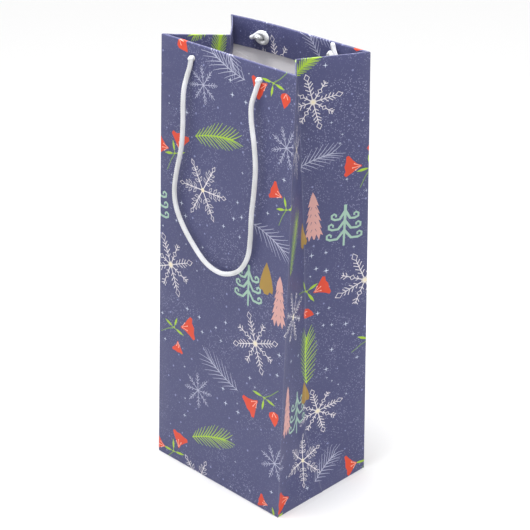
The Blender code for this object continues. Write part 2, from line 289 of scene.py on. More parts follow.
def make_cord_tree():
    """Path edges in, twisted strands out."""
    tree = bpy.data.node_groups.new("twisted_cord", "GeometryNodeTree")
    face = tree.interface
    face.new_socket("Geometry", in_out="INPUT", socket_type="NodeSocketGeometry")
    for name in ("Cord Radius", "Strand Radius", "Pitch", "Step"):
        face.new_socket(name, in_out="INPUT", socket_type="NodeSocketFloat")
    face.new_socket("Strands", in_out="INPUT", socket_type="NodeSocketInt")
    face.new_socket("Material", in_out="INPUT", socket_type="NodeSocketMaterial")
    face.new_socket("Geometry", in_out="OUTPUT", socket_type="NodeSocketGeometry")
    given = tree.nodes.new("NodeGroupInput")
    result = tree.nodes.new("NodeGroupOutput")
    link = tree.links.new

    def maths(operation, first, second=None):
        return calculate(tree, operation, first, second)

    def vector_maths(operation, first, second=None, scale=None):
        node = tree.nodes.new("ShaderNodeVectorMath")
        node.operation = operation
        link(first, node.inputs[0])
        if second is not None:
            link(second, node.inputs[1])
        if scale is not None:
            link(scale, node.inputs["Scale"])
        return node.outputs[0]

    curve = tree.nodes.new("GeometryNodeMeshToCurve")
    link(given.outputs["Geometry"], curve.inputs["Mesh"])
    even = tree.nodes.new("GeometryNodeResampleCurve")
    even.mode = "LENGTH"
    link(curve.outputs["Curve"], even.inputs["Curve"])
    link(given.outputs["Step"], even.inputs["Length"])

    along = tree.nodes.new("GeometryNodeSplineParameter").outputs["Length"]
    whole = tree.nodes.new("GeometryNodeSplineLength").outputs["Length"]
    nearest_end = maths("MINIMUM", along, maths("SUBTRACT", whole, along))
    share = maths("MINIMUM", maths("DIVIDE", nearest_end, given.outputs["Cord Radius"]), 1.0)
    missing = maths("SUBTRACT", 1.0, share)
    round_end = maths("SUBTRACT", 1.0, maths("MULTIPLY", missing, missing))
    cap = maths("MAXIMUM", maths("SQRT", maths("MAXIMUM", round_end, 0.0)), SMALLEST_CAP)

    copies = tree.nodes.new("GeometryNodeDuplicateElements")
    copies.domain = "SPLINE"
    link(even.outputs["Curve"], copies.inputs["Geometry"])
    link(given.outputs["Strands"], copies.inputs["Amount"])
    number = maths("DIVIDE", copies.outputs["Duplicate Index"], given.outputs["Strands"])
    turns = maths("ADD", maths("DIVIDE", along, given.outputs["Pitch"]), number)
    angle = maths("MULTIPLY", turns, math.tau)
    normal = tree.nodes.new("GeometryNodeInputNormal").outputs["Normal"]
    tangent = tree.nodes.new("GeometryNodeInputTangent").outputs["Tangent"]
    side = vector_maths("CROSS_PRODUCT", tangent, normal)
    ring = maths("SUBTRACT", given.outputs["Cord Radius"], given.outputs["Strand Radius"])
    reach = maths("MULTIPLY", ring, cap)
    first = vector_maths("SCALE", normal, scale=maths("MULTIPLY", reach, maths("COSINE", angle)))
    second = vector_maths("SCALE", side, scale=maths("MULTIPLY", reach, maths("SINE", angle)))
    moved = tree.nodes.new("GeometryNodeSetPosition")
    link(copies.outputs["Geometry"], moved.inputs["Geometry"])
    link(vector_maths("ADD", first, second), moved.inputs["Offset"])

    joined = tree.nodes.new("GeometryNodeJoinGeometry")
    tubes = (
        (moved.outputs[0], given.outputs["Strand Radius"], 8),
        (even.outputs[0], maths("MULTIPLY", ring, CORE_SHARE), 12))
    for source, radius, facets in tubes:
        sized = tree.nodes.new("GeometryNodeSetCurveRadius")
        link(source, sized.inputs["Curve"])
        link(cap, sized.inputs["Radius"])
        circle = tree.nodes.new("GeometryNodeCurvePrimitiveCircle")
        circle.inputs["Resolution"].default_value = facets
        link(radius, circle.inputs["Radius"])
        tube = tree.nodes.new("GeometryNodeCurveToMesh")
        link(sized.outputs["Curve"], tube.inputs["Curve"])
        link(circle.outputs["Curve"], tube.inputs["Profile Curve"])
        tube.inputs["Fill Caps"].default_value = True
        smooth = tree.nodes.new("GeometryNodeSetShadeSmooth")
        link(tube.outputs["Mesh"], smooth.inputs["Geometry"])
        link(smooth.outputs["Geometry"], joined.inputs["Geometry"])
    real = tree.nodes.new("GeometryNodeRealizeInstances")
    link(joined.outputs["Geometry"], real.inputs["Geometry"])
    painted = tree.nodes.new("GeometryNodeSetMaterial")
    link(real.outputs["Geometry"], painted.inputs["Geometry"])
    link(given.outputs["Material"], painted.inputs["Material"])
    link(painted.outputs["Geometry"], result.inputs["Geometry"])
    return tree


CORD_TREE = make_cord_tree()
print("cord tree has", len(CORD_TREE.nodes), "nodes")


def set_inputs(modifier, values):
    """Sets a tree's inputs by socket identifier, found from the name a person reads."""
    for socket in modifier.node_group.interface.items_tree:
        if socket.in_out == "INPUT" and socket.name in values:
            modifier[socket.identifier] = values[socket.name]


def as_plain_piece(working, name):
    """The evaluated object as a plain mesh with no modifiers."""
    ready = working.evaluated_get(bpy.context.evaluated_depsgraph_get())
    mesh = bpy.data.meshes.new_from_object(ready)
    mesh.name = name
    piece = place_object(name, mesh)
    bpy.data.objects.remove(working)
    return piece


def lay_cord(name, path):
    """A twisted cord along a path of close points."""
    mesh = bpy.data.meshes.new(name + "_path")
    mesh.from_pydata(path, [(index, index + 1) for index in range(len(path) - 1)], [])
    working = place_object(name + "_path", mesh)
    modifier = working.modifiers.new("cord", "NODES")
    modifier.node_group = CORD_TREE
    set_inputs(modifier, {
        "Cord Radius": CORD_RADIUS, "Strand Radius": STRAND_RADIUS, "Pitch": TWIST_PITCH,
        "Step": PATH_STEP, "Strands": STRANDS, "Material": CORD_MATERIAL})
    piece = as_plain_piece(working, name)
    print(name, "has", len(piece.data.polygons), "faces")
    return piece


# %% [markdown]
# ## The route of a hanging handle
# A cord has a fixed length, so its line is settled before its look. It leaves one hole,
# hangs a little away from the paper where the twist keeps it stiff, lies against the wall at
# the bottom of the loop and comes back to the other hole. The route is a short list of
# points; a smooth curve through them gives the close points that the strands follow.

# %% Handle route
HANDLE_ROUTE = [
    (-0.0300, 0.00195, 0.0117),
    (-0.0308, 0.0021, 0.0157),
    (-0.0322, 0.0030, 0.0217),
    (-0.0330, 0.0046, 0.0297),
    (-0.0330, 0.0053, 0.0387),
    (-0.0328, 0.0054, 0.0537),
    (-0.0345, 0.0050, 0.0697),
    (-0.0388, 0.0045, 0.0857),
    (-0.0416, 0.0040, 0.0992),
    (-0.0408, 0.0036, 0.1112),
    (-0.0355, 0.0033, 0.1222),
    (-0.0261, 0.0031, 0.1330),
    (-0.0130, 0.0030, 0.1434),
    (0.0000, 0.0030, 0.1468),
    (0.0110, 0.0030, 0.1445),
    (0.0205, 0.0031, 0.1382),
    (0.0271, 0.0033, 0.1272),
    (0.0292, 0.0036, 0.1142),
    (0.0302, 0.0042, 0.0972),
    (0.0324, 0.0048, 0.0797),
    (0.0333, 0.0052, 0.0642),
    (0.0316, 0.0053, 0.0497),
    (0.0284, 0.0050, 0.0357),
    (0.0270, 0.0040, 0.0257),
    (0.0284, 0.0024, 0.0172),
    (0.0300, 0.00195, 0.0117),
]


def curve_point(points, place):
    """A point on the smooth curve through the route, place counting its spans."""
    last = len(points) - 1
    span = min(int(place), last - 1)
    share = place - span
    before = points[max(span - 1, 0)]
    start = points[span]
    end = points[span + 1]
    after = points[min(span + 2, last)]
    pull = (end - before) * share
    curve = (before * 2 - start * 5 + end * 4 - after) * share ** 2
    twist = (start * 3 - before - end * 3 + after) * share ** 3
    return start + (pull + curve + twist) / 2


def smooth_path(points, spans=12):
    return [curve_point(points, index / spans) for index in range((len(points) - 1) * spans + 1)]


def handle_path(wall):
    """The loop in world space, with its ends in the hole line and a radius above it."""
    ends = []
    for x in (-HOLE_SPACING / 2, HOLE_SPACING / 2):
        ends.append([Vector((x, -AXIS_OUT, HOLE_HEIGHT + CORD_RADIUS)), Vector((x, -AXIS_OUT, HOLE_HEIGHT))])
    loop = [Vector((across, -out, PANEL_HEIGHT - drop)) for across, out, drop in HANDLE_ROUTE]
    points = ends[0] + loop + ends[1][::-1]
    return [wall @ point for point in smooth_path(points)]


# %% [markdown]
# ## The handles
# It rides on its own body, because it swings about the line through its holes.

for side, wall in WALLS.items():
    path = handle_path(wall)
    handle = lay_cord(f"{side}_cord_handle", path)
    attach(handle, f"{side}_handle")
    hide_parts(f"{side}_handle_cord")

# %% [markdown]
# ## The knots
# Inside the bag each end has a knot, which stops it pulling through the hole. It is a simple
# one: the same cord tree follows a route that goes in through the hole, once round itself and
# out at the side as a short tail. Turning the route about the hole gives each knot its own
# tail direction.

# %% Make the knots
KNOT_ROUTE = [
    (0.0, -0.0036, 0.0),
    (0.0, -0.00195, 0.0),
    (0.0, 0.0005, 0.0),
    (0.0, 0.0029, 0.0),
    (0.0002, 0.0047, 0.0002),
    (0.0009, 0.0062, 0.0010),
    (0.0024, 0.0068, 0.0016),
    (0.0036, 0.0058, 0.0006),
    (0.0031, 0.0046, -0.0017),
    (0.0009, 0.0041, -0.0034),
    (-0.0020, 0.0041, -0.0031),
    (-0.0036, 0.0045, -0.0007),
    (-0.0030, 0.0049, 0.0021),
    (-0.0004, 0.0052, 0.0035),
    (0.0024, 0.0052, 0.0033),
    (0.0050, 0.0050, 0.0028),
    (0.0076, 0.0048, 0.0026),
    (0.0100, 0.0047, 0.0027),
]
KNOTS = {
    ("front", "left"): (math.radians(200), 0.0),
    ("front", "right"): (math.radians(-20), 0.0),
    ("back", "left"): (math.radians(-75), -0.0022),
    ("back", "right"): (math.radians(26), 0.0),
}
for (side, label), (turn, slip) in KNOTS.items():
    x = HOLE_SPACING / 2 * (1 if label == "right" else -1)
    place = WALLS[side] @ Matrix.Translation((x, 0.0, HOLE_HEIGHT))
    path = []
    for point in smooth_path([Vector(point) for point in KNOT_ROUTE]):
        turned = Matrix.Rotation(turn, 4, "Y") @ point
        turned.x += slip * min(1.0, max(0.0, (point.y - 0.002) / 0.003))
        path.append(Vector(spring_forward(np.array(place @ turned))))
    knot = lay_cord(f"{side}_{label}_cord_knot", path)
    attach(knot, "bag")
    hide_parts(f"{side}_knot_{label}")

# %% [markdown]
# ## Where the paper goes
# The bag is one flat sheet before it is folded, so it is easiest to draw on it flat. A place
# on the sheet is (u, v): u runs round the girth, v up from the base fold. The front is u 0 to
# 120 mm, the right side 120 to 208, the back 208 to 328 and the left side -88 to 0. Below 0
# are the base flaps, above 308 mm the sheet turns over into the hem. The functions below fold
# any (u, v) to its place in space. They work on whole arrays at once, which is much faster
# than one point at a time.

# %% Fold the walls and sides
FRONT_END = BAG_WIDTH
RIGHT_END = BAG_WIDTH + BASE_DEPTH
BACK_END = 2 * BAG_WIDTH + BASE_DEPTH
LEFT_START = -BASE_DEPTH
FOLD_START = PANEL_HEIGHT - 0.0008
FOLD_SPAN = 0.0020
HEM_LENGTH = 0.0192
SHEET_TOP = FOLD_START + FOLD_SPAN + HEM_LENGTH
CORNERS = (LEFT_START, 0.0, FRONT_END, RIGHT_END, BACK_END)
CREASES = (LEFT_START + HALF_BASE, FRONT_END + HALF_BASE)
FOLD_SOFTNESS = 0.0005


def stack(x, y, z):
    return np.stack(np.broadcast_arrays(x, y, z), axis=-1)


def corner_edge(share, is_front):
    """A corner fold, mirrored into the front right quarter."""
    mouth = np.where(is_front, FRONT_MOUTH, BACK_MOUTH)
    top = np.where(is_front, FRONT_TOP, BACK_TOP)
    return stack(HALF_WIDTH, (HALF_BASE - mouth) * share - HALF_BASE, top * share)


def crease_edge(share, side_sign):
    inset = FOOT_INSET + (MOUTH_INSET - FOOT_INSET) * share - CREASE_BOW * np.sin(np.pi * share)
    top = FRONT_TOP - np.where(side_sign > 0, MOUTH_DIP, LEFT_DIP)
    return stack(HALF_WIDTH - inset, 0.0, FOOT_HEIGHT + (top - FOOT_HEIGHT) * share)


def side_state(u):
    """For places on the two gussets: from which corner, which half and which side of the bag."""
    on_right = u > HALF_WIDTH
    along = np.where(on_right, u - FRONT_END, u - LEFT_START)
    first_half = along <= HALF_BASE
    from_corner = np.clip(np.where(first_half, along, BASE_DEPTH - along), 0.0, HALF_BASE)
    near_front = np.where(on_right, first_half, ~first_half)
    return from_corner, near_front, np.where(on_right, 1.0, -1.0)


BOW = 0.00035                 # how far a panel's middle hangs in
BUCKLE = 0.00016              # the size of its faint buckles


def relax(u, v):
    """How far the paper lies in from its ideal plane: faint bows and buckles, never at the top."""
    calm = np.sin(np.pi * np.clip(v / PANEL_HEIGHT, 0.0, 1.0))
    bow = BOW * calm * np.sin(np.pi * (u - LEFT_START) / BAG_WIDTH) ** 2
    buckle = np.sin(u * 61.0 + 0.4) * np.sin(v * 37.0 + 1.1) + 0.6 * np.sin(u * 23.0 + v * 83.0)
    return bow + BUCKLE * calm * (1.0 + buckle)


def fold_side(u, v):
    """A place on a gusset: the flat foot triangle below, a ruled sheet above the diagonal."""
    from_corner, near_front, side_sign = side_state(u)
    share = np.clip((v - from_corner) / (PANEL_HEIGHT - from_corner), 0.0, 1.0)
    across = (from_corner / HALF_BASE)[..., None]
    upper = corner_edge(share, near_front) * (1 - across) + crease_edge(share, side_sign) * across
    tilt = math.asin(FOOT_INSET / HALF_BASE)
    foot = stack(HALF_WIDTH - v * math.sin(tilt), from_corner - HALF_BASE, v * math.cos(tilt))
    place = np.where((v >= from_corner)[..., None], upper, foot)
    place[..., 0] -= relax(u, v) * across[..., 0]
    return place * stack(side_sign, np.where(near_front, 1.0, -1.0), 1.0)


def is_front_wall(u):
    return u < (FRONT_END + RIGHT_END) / 2


def fold_wall(u, v):
    """A place on the front or back panel."""
    is_front = is_front_wall(u)
    corner = corner_edge(v / PANEL_HEIGHT, is_front)
    x = np.where(is_front, u - HALF_WIDTH, HALF_WIDTH - (u - RIGHT_END))
    edge = np.clip(1.0 - (x / HALF_WIDTH) ** 2, 0.0, 1.0)
    y = corner[..., 1] + relax(u, v) * edge
    return stack(x, np.where(is_front, y, -y), corner[..., 2])


def on_walls(u):
    return ((u >= 0.0) & (u <= FRONT_END)) | (u >= RIGHT_END)


def fold_outside(u, v):
    return np.where(on_walls(u)[..., None], fold_wall(u, v), fold_side(u, v))


# %% [markdown]
# ## The hem
# At the mouth the sheet turns over and comes down inside the bag. Its ring is smaller than
# the outside one: each side of the mouth's outline moves in, by more on the front and back,
# where a card lies under the hem. Its corners are where the moved lines meet.

# %% Fold the hem
CORNER_RISE = 0.00045         # how high the turn at the mouth stands, at a corner of a side
WALL_RISE = 0.00035           # and how much more along the front and back
CORNER_BLEND = 0.006          # over which distance a side's turn flattens


def fold_hem(u, v):
    """A place on the printed face of the hem, v being the height it lies at."""
    from_corner, near_front, side_sign = side_state(u)
    is_wall = on_walls(u)
    is_front = np.where(is_wall, is_front_wall(u), near_front)
    corner = corner_edge(v / PANEL_HEIGHT, is_front)
    crease = crease_edge(np.clip((v - HALF_BASE) / (PANEL_HEIGHT - HALF_BASE), 0.0, 1.0), side_sign)
    run_x = crease[..., 0] - corner[..., 0]
    run_y = -corner[..., 1]
    length = np.hypot(run_x, run_y)
    in_x = corner[..., 0] - SIDE_HEM_DEPTH * run_y / length
    in_y = corner[..., 1] + SIDE_HEM_DEPTH * run_x / length
    wall_y = corner[..., 1] + HEM_DEPTH
    meet_x = in_x + (wall_y - in_y) * run_x / run_y
    tip_x = in_x + (0.0 - in_y) * run_x / run_y
    y_sign = np.where(is_front, 1.0, -1.0)
    along = np.where(is_front, u / FRONT_END, 1.0 - (u - RIGHT_END) / BAG_WIDTH) * 2.0 - 1.0
    wall = stack(meet_x * along, wall_y * y_sign, corner[..., 2])
    across = from_corner / HALF_BASE
    side_x = meet_x * (1 - across) + tip_x * across
    side_y = wall_y * (1 - across)
    side_z = corner[..., 2] * (1 - across) + crease[..., 2] * across
    side = stack(side_x * side_sign, side_y * y_sign, side_z)
    return np.where(is_wall[..., None], wall, side)


def fold_over_top(u, v):
    """The turn at the mouth: half an ellipse from the outside ring to the hem's ring."""
    outside = fold_outside(u, np.full_like(v, FOLD_START))
    inside = fold_hem(u, np.full_like(v, FOLD_START))
    angle = np.pi * np.clip((v - FOLD_START) / FOLD_SPAN, 0.0, 1.0)
    nearest = np.min([np.abs(u - corner) for corner in CORNERS], axis=0)
    wall_share = np.where(on_walls(u), 1.0, 1.0 - np.clip(nearest / CORNER_BLEND, 0.0, 1.0))
    rise = CORNER_RISE + WALL_RISE * wall_share
    middle = (outside + inside) / 2
    half = (outside - inside) / 2
    place = middle + half * np.cos(angle)[..., None]
    place[..., 2] += rise * np.sin(angle)
    return place


# %% [markdown]
# ## The base and the seam
# Four flaps close the base. The front flap is outermost and flat on the table; the back flap
# climbs over it; the two dust flaps lie above both. A narrow tab at the sheet's left end goes
# inside the back panel, where it is glued. Sharp folds are softened with a short curve, the
# way card stock really bends.

# %% Fold the base, the seam tab and the soft creases
FLAP_REACH = BASE_DEPTH * 0.62
DUST_REACH = 0.038
TAB_WIDTH = 0.014
TAB_GAP = 0.0007              # from the back panel's end to the tab's fold
CLIMB = (0.008, 0.001)        # the back flap's climb starts and ends this far before the front flap
DUST_LIFT = 0.0011
DUST_RAMP = (0.0006, 0.0045)


def step_up(distance, start, end, height):
    share = np.clip((distance - start) / (end - start), 0.0, 1.0)
    return height * share * share * (3 - 2 * share)


def fold_base(u, v):
    reach = -v
    is_front = is_front_wall(u)
    from_corner, near_front, side_sign = side_state(u)
    x = np.where(is_front, u - HALF_WIDTH, HALF_WIDTH - (u - RIGHT_END))
    meeting = BASE_DEPTH - FLAP_REACH
    over_front = step_up(reach, meeting - CLIMB[0], meeting - CLIMB[1], LAYER)
    wall_y = np.where(is_front, reach - HALF_BASE, HALF_BASE - reach)
    wall = stack(x, wall_y, np.where(is_front, 0.0, over_front))
    lift = step_up(reach, *DUST_RAMP, DUST_LIFT)
    side_y = (from_corner - HALF_BASE) * np.where(near_front, 1.0, -1.0)
    dust = stack((HALF_WIDTH - reach) * side_sign, side_y, lift)
    return np.where(on_walls(u)[..., None], wall, dust)


def fold_tab(u, v):
    """The seam tab, inside the back panel's left edge."""
    corner = corner_edge(v / PANEL_HEIGHT, False)
    x = TAB_GAP + (LEFT_START - u) - HALF_WIDTH
    return stack(x, -corner[..., 1] - LAYER, corner[..., 2])


def fold_sharp(u, v):
    outside = fold_outside(u, np.clip(v, 0.0, FOLD_START))
    place = np.where((v < 0.0)[..., None], fold_base(u, np.minimum(v, 0.0)), outside)
    place = np.where((v > FOLD_START)[..., None], fold_over_top(u, v), place)
    below = FOLD_START - (v - FOLD_START - FOLD_SPAN)
    place = np.where((v > FOLD_START + FOLD_SPAN)[..., None], fold_hem(u, below), place)
    return np.where((u < LEFT_START)[..., None], fold_tab(u, v), place)


def soften(place_at, value, fold):
    """Replaces the crease at fold by a short curve between its two faces."""
    share = np.clip((value - fold + FOLD_SOFTNESS) / (2 * FOLD_SOFTNESS), 0.0, 1.0)[..., None]
    before = place_at(np.full_like(value, fold - FOLD_SOFTNESS))
    corner = place_at(np.full_like(value, fold))
    after = place_at(np.full_like(value, fold + FOLD_SOFTNESS))
    return (1 - share) ** 2 * before + 2 * share * (1 - share) * corner + share ** 2 * after


def fold_sheet(u, v):
    """Any place on the sheet, folded, with softened creases."""
    place = fold_sharp(u, v)
    near_base = np.abs(v) < FOLD_SOFTNESS
    place = np.where(near_base[..., None], soften(lambda height: fold_sharp(u, height), v, 0.0), place)
    for fold in CORNERS[:-1] + CREASES:
        near = np.abs(u - fold) < FOLD_SOFTNESS
        place = np.where(near[..., None], soften(lambda girth: fold_sharp(girth, v), u, fold), place)
    return spring_forward(place)


corners = fold_sheet(np.array([0.0, FRONT_END, 0.0]), np.array([0.001, 0.001, FOLD_START]))
print("front corners fold to", corners.round(4).tolist())

# %% [markdown]
# ## Drawing tools for the print
# The print is flat shapes of solid ink: strokes, leaves and outlines. Each drawing is a list
# of (ink, outline) in millimetres round its own middle. Small hand tremors come from a seeded
# random generator, so the same bag is printed every time.

# %% Drawing tools
INKS = {
    "ground": srgb(75, 77, 114),
    "cream": srgb(224, 219, 222),
    "cream_core": srgb(232, 222, 190),
    "grey": srgb(172, 174, 196),
    "lime": srgb(162, 196, 58),
    "dark_lime": srgb(120, 150, 80),
    "red": srgb(214, 72, 44),
    "pink": srgb(210, 160, 153),
    "pink_line": srgb(240, 178, 160),
    "mint": srgb(158, 189, 171),
    "ochre": srgb(163, 131, 60),
    "star": srgb(208, 216, 232),
    "dot": srgb(128, 132, 170),
    "plum": srgb(112, 96, 118),
}
pen = random.Random(7)


def along(start, end, share):
    return (start[0] + (end[0] - start[0]) * share, start[1] + (end[1] - start[1]) * share)


def polar(angle, distance, centre=(0.0, 0.0)):
    return (centre[0] + distance * math.cos(angle), centre[1] + distance * math.sin(angle))


def tremble(point, amount):
    return (point[0] + pen.uniform(-amount, amount), point[1] + pen.uniform(-amount, amount))


def stroke(ink, points, width, end_width=None):
    """A bent stroke as one outline, tapering from its start to its end."""
    end_width = width if end_width is None else end_width
    left = []
    right = []
    last = len(points) - 1
    for index, point in enumerate(points):
        before = points[max(index - 1, 0)]
        after = points[min(index + 1, last)]
        run = math.hypot(after[0] - before[0], after[1] - before[1]) or 1.0
        half = (width + (end_width - width) * index / last) / 2
        side = (-(after[1] - before[1]) / run * half, (after[0] - before[0]) / run * half)
        left.append((point[0] + side[0], point[1] + side[1]))
        right.append((point[0] - side[0], point[1] - side[1]))
    return [(ink, right + left[::-1])]


def dot(centre, radius, sides=8):
    return [polar(math.tau * side / sides, radius, centre) for side in range(sides)]


def diamond(base, tip, width):
    middle = along(base, tip, 0.5)
    angle = math.atan2(tip[1] - base[1], tip[0] - base[0]) + math.pi / 2
    return [base, polar(angle, -width / 2, middle), tip, polar(angle, width / 2, middle)]


def loop(ink, base, tip, width, line):
    """A hollow leaf: a solid one with a smaller one of the ground's colour on it."""
    length = math.hypot(tip[0] - base[0], tip[1] - base[1])
    inset = line * 1.3 / length
    inner = diamond(along(base, tip, inset), along(base, tip, 1.0 - inset), width - line * 1.5)
    return [(ink, diamond(base, tip, width)), ("ground", inner)]


def leaf(ink, base, tip, width):
    """A solid pointed leaf."""
    angle = math.atan2(tip[1] - base[1], tip[0] - base[0]) + math.pi / 2
    outline = [base]
    for share, swell in ((0.3, 0.42), (0.6, 0.5)):
        outline.append(polar(angle, -width * swell, along(base, tip, share)))
    outline.append(tip)
    for share, swell in ((0.6, 0.5), (0.3, 0.42)):
        outline.append(polar(angle, width * swell, along(base, tip, share)))
    return [(ink, outline)]


# %% [markdown]
# ## The drawings
# Each drawing is a plain winter motif made by a short function: snow crystals grown from arms
# by a loop, pine sprigs from needles, a feathered tree, a tree with curled branches, a small
# plump tree, and sprays of red trumpet flowers.

# %% Motifs


def fork(ink, root, angle, spread, length, shake, line):
    """Two short branches from one root, drawn as one bent stroke."""
    tips = [tremble(polar(angle + side * spread, length, root), shake) for side in (-1, 1)]
    return stroke(ink, [tips[0], root, tips[1]], line, line)


def snow_crystal(size, ink="cream", line=0.56):
    """Eight arms: long ones with hollow tips, short ones with a hollow leaf halfway out."""
    shapes = []
    for arm in range(8):
        angle = math.tau * arm / 8
        long_arm = arm % 2 == 0
        reach = size / 2 * (1.0 if long_arm else 0.78)
        stem_end = polar(angle, reach * (0.74 if long_arm else 1.0))
        shapes += stroke(ink, [(0, 0), stem_end], line * 1.2, line * 0.9)
        if long_arm:
            shapes += loop(ink, polar(angle, reach * 0.72), polar(angle, reach), size * 0.10, line)
            ticks = ((0.24, 0.11), (0.37, 0.14), (0.50, 0.15), (0.62, 0.11))
        else:
            shapes += loop(ink, polar(angle, reach * 0.42), polar(angle, reach * 0.66), size * 0.09, line)
            ticks = ((0.28, 0.08), (0.76, 0.11), (0.90, 0.09))
        for place, length in ticks:
            shapes += fork(ink, polar(angle, reach * place), angle, 0.85, size * length * 0.62, 0.2, line)
    for arm in range(8):
        shapes += stroke("cream_core", [(0, 0), polar(math.tau * (arm + 0.5) / 8, size * 0.055)], 0.7, 0.4)
    return shapes


def leafy_crystal(size, ink="cream", line=0.6):
    """Six arms of paired hollow leaves."""
    shapes = []
    for arm in range(6):
        angle = math.tau * arm / 6
        for place, length in ((0.13, 0.11), (0.22, 0.13), (0.31, 0.09)):
            root = polar(angle, size * place)
            for side in (-1, 1):
                tip = tremble(polar(angle + side * 0.9, size * length, root), 0.2)
                shapes += loop(ink, root, tip, size * 0.055, line * 0.8)
        shapes += loop(ink, polar(angle, size * 0.38), polar(angle, size * 0.5), size * 0.07, line)
        shapes += stroke(ink, [(0, 0), polar(angle, size * 0.39)], line * 1.2, line)
    shapes.append(("cream_core", dot((0, 0), size * 0.035)))
    return shapes


def lace_crystal(size, ink="grey", line=0.46):
    """A small fine crystal: eight thin arms, every second one with a hollow tip."""
    shapes = []
    for arm in range(8):
        angle = math.tau * arm / 8
        hollow = arm % 2 == 0
        stem_end = polar(angle, size * (0.42 if hollow else 0.5))
        shapes += stroke(ink, [(0, 0), stem_end], line * 1.2, line * 0.9)
        for place, length in ((0.17, 0.08), (0.26, 0.10), (0.35, 0.08)):
            shapes += fork(ink, polar(angle, size * place), angle, 0.7, size * length, 0.25, line)
        if hollow:
            shapes += loop(ink, polar(angle, size * 0.40), polar(angle, size * 0.5), size * 0.075, line * 0.8)
    return shapes


def pine_sprig(size, ink, line, needles, longest):
    """A sprig with its tip at the origin, lying along +X."""
    stem = [(size * 0.80 * step / 4, size * 0.03 * math.sin(step * 0.8)) for step in range(5)]
    shapes = stroke(ink, stem, line * 0.7, line * 1.5)
    for index in range(needles):
        share = 0.03 + 0.95 * index / (needles - 1)
        root = (size * share * 0.80, size * 0.03 * math.sin(share * 3.2))
        for side in (1, -1):
            length = size * (0.07 + longest * math.sin(math.pi * (0.10 + 0.66 * share)))
            angle = side * (0.76 - 0.44 * share ** 2) + pen.uniform(-0.05, 0.05)
            bend = polar(angle, length * 0.55, root)
            tip = polar(angle + side * 0.08, length * 0.45, bend)
            shapes += stroke(ink, [root, bend, tip], line, line * 0.35)
    return shapes


def trumpet(size, ink="red"):
    """A trumpet flower opening along +X from its narrow end, with pale filaments."""
    outline = [(0, -0.04), (0.26, -0.13), (0.54, -0.36), (0.76, -0.60), (0.90, -0.54), (0.90, -0.24),
               (0.96, 0.04), (0.88, 0.28), (0.95, 0.50), (0.82, 0.60), (0.54, 0.40), (0.26, 0.16), (0, 0.04)]
    shapes = [(ink, [tremble((x * size, y * size), size * 0.012) for x, y in outline])]
    for angle, reach in ((0.62, 0.40), (0.2, 0.50), (-0.3, 0.44)):
        start = polar(angle * 0.4, size * 0.08)
        shapes += stroke("pink_line", [start, polar(angle, size * reach)], 0.3, 0.45)
        shapes.append(("pink_line", dot(polar(angle, size * reach), 0.5, 6)))
    return shapes


def closed_bud(size, ink="red"):
    """A bud pointing along +X, widest near its stem."""
    outline = [(0, -0.1), (0.12, -0.36), (0.34, -0.42), (0.66, -0.24), (1.0, -0.02),
               (0.72, 0.22), (0.36, 0.40), (0.12, 0.36), (0, 0.1)]
    shapes = [(ink, [tremble((x * size, y * size), size * 0.015) for x, y in outline])]
    for angle in (0.5, -0.4):
        shapes += stroke("pink_line", [(0.3, 0), polar(angle, size * 0.4)], 0.35, 0.6)
    return shapes


def leaf_spray(size):
    """Three slender leaves and a stem; the node is at the origin, the stem goes along +X."""
    shapes = stroke("dark_lime", [(size * 1.35, size * 0.16), (size * 0.6, size * 0.02), (0, 0)], 0.5, 0.8)
    for angle, reach in ((2.5, 0.95), (-2.3, 0.85), (-0.78, 0.9)):
        root = polar(angle, size * 0.12)
        shapes += leaf("lime", root, polar(angle, size * reach), 1.9)
        shapes += stroke("lime", [(0, 0), root], 0.7)
    return shapes


def feathered_tree(size):
    """A tall pink tree of drooping tufts with dark slits."""
    tufts = 6
    right = [(0.0, size * 0.5)]
    for tuft in range(tufts):
        drop = size * (0.5 - (tuft + 1) / (tufts + 0.6))
        reach = size * (0.055 + 0.135 * (tuft + 1) / tufts)
        right.append(tremble((reach, drop), 0.35))
        right.append(tremble((reach * 0.66, drop + size * 0.035), 0.2))
    right.append((size * 0.10, -size * 0.5))
    right.append((size * 0.05, -size * 0.37))
    left = [tremble((-x, y), 0.3) for x, y in right[:0:-1]]
    outline = right + [(size * 0.012, -size * 0.47), (-size * 0.012, -size * 0.47)] + left
    shapes = [("pink", outline[::-1])]
    for tuft in range(2, tufts + 1):
        drop = size * (0.5 - tuft / (tufts + 0.6))
        for side in (-1, 1):
            start = tremble((side * size * 0.035, drop), 0.4)
            end = (start[0] + side * size * 0.03, start[1] - size * 0.06)
            shapes += stroke("plum", [start, end], 0.5, 0.2)
    return shapes


def curled_tree(size):
    """A mint tree: a trunk and three pairs of branches that curl up at their ends."""
    shapes = stroke("mint", [(0, size * 0.5), (0, -size * 0.5)], 2.0, 1.3)
    for height, reach in ((0.36, 0.27), (0.12, 0.33), (-0.12, 0.37)):
        for side in (-1, 1):
            centre = (side * size * (reach - 0.02), size * (height - 0.12))
            points = [(0.0, size * height), (side * size * reach * 0.45, size * (height - 0.2))]
            for step in range(6):
                angle = math.radians(-100 + 62 * step)
                spiral = size * (0.085 - 0.009 * step)
                across = centre[0] + side * spiral * math.cos(angle)
                points.append((across, centre[1] + spiral * math.sin(angle)))
            shapes += stroke("mint", points, 1.8, 1.2)
    return shapes


def plump_tree(size):
    """A small ochre tree with a ragged foot."""
    half = [(0.0, 0.5), (0.13, 0.27), (0.21, 0.02), (0.27, -0.24),
            (0.24, -0.38), (0.14, -0.36), (0.08, -0.46)]
    outline = [(x * size, y * size) for x, y in half] + [(-x * size, y * size) for x, y in half[:0:-1]]
    return [("ochre", [tremble(point, 0.25) for point in outline[::-1]])]


